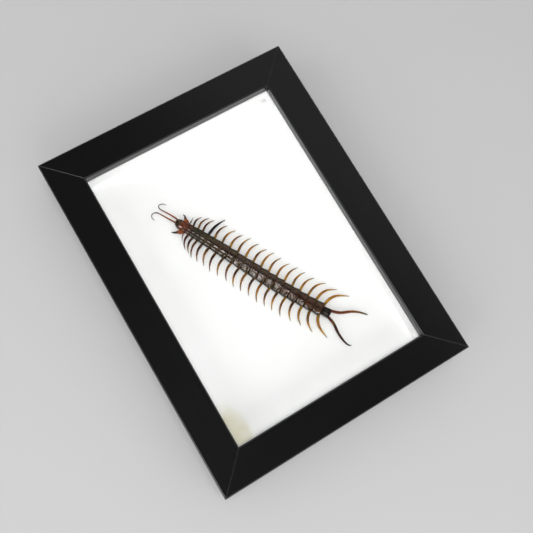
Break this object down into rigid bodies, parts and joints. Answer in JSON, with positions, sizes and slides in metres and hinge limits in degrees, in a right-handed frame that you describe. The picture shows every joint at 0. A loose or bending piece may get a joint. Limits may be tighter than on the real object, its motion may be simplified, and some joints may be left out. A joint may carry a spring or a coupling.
{
  "type": "framed centipede specimen",
  "caption": "Dried centipede laid on a white board behind glass, in a deep black box frame with mitred corners, for a wall or a shelf.",
  "frame": {"origin": "middle of the frame's back, in the plane of the rails' rear faces", "axes": "+Z out of the glass, +Y towards the top of the frame along its long side, +X to the right along its short side"},
  "size_m": [0.158, 0.209, 0.03],
  "materials": {
    "black_rail": "satin black paint",
    "clear_glass": "clear float glass",
    "white_spacer": "matt white",
    "white_board": "matt white",
    "hardboard": "raw hardboard",
    "steel_tab": "plain",
    "brass_hanger": "plated",
    "dry_shell": "dry glossy shell, dark brown to amber"
  },
  "bodies": {
    "root": {"rail_top": "black_rail", "rail_bottom": "black_rail", "rail_left": "black_rail", "rail_right": "black_rail", "glass_pane": "clear_glass", "spacer_top": "white_spacer", "spacer_bottom": "white_spacer", "spacer_left": "white_spacer", "spacer_right": "white_spacer", "mount_board": "white_board", "back_panel": "hardboard", "tab_top": "steel_tab", "tab_bottom": "steel_tab", "tab_left_1": "steel_tab", "tab_left_2": "steel_tab", "tab_right_1": "steel_tab", "tab_right_2": "steel_tab", "hanger": "brass_hanger", "hanger_rivet_1": "brass_hanger", "hanger_rivet_2": "brass_hanger", "centipede": "dry_shell"}
  },
  "joints": []
}
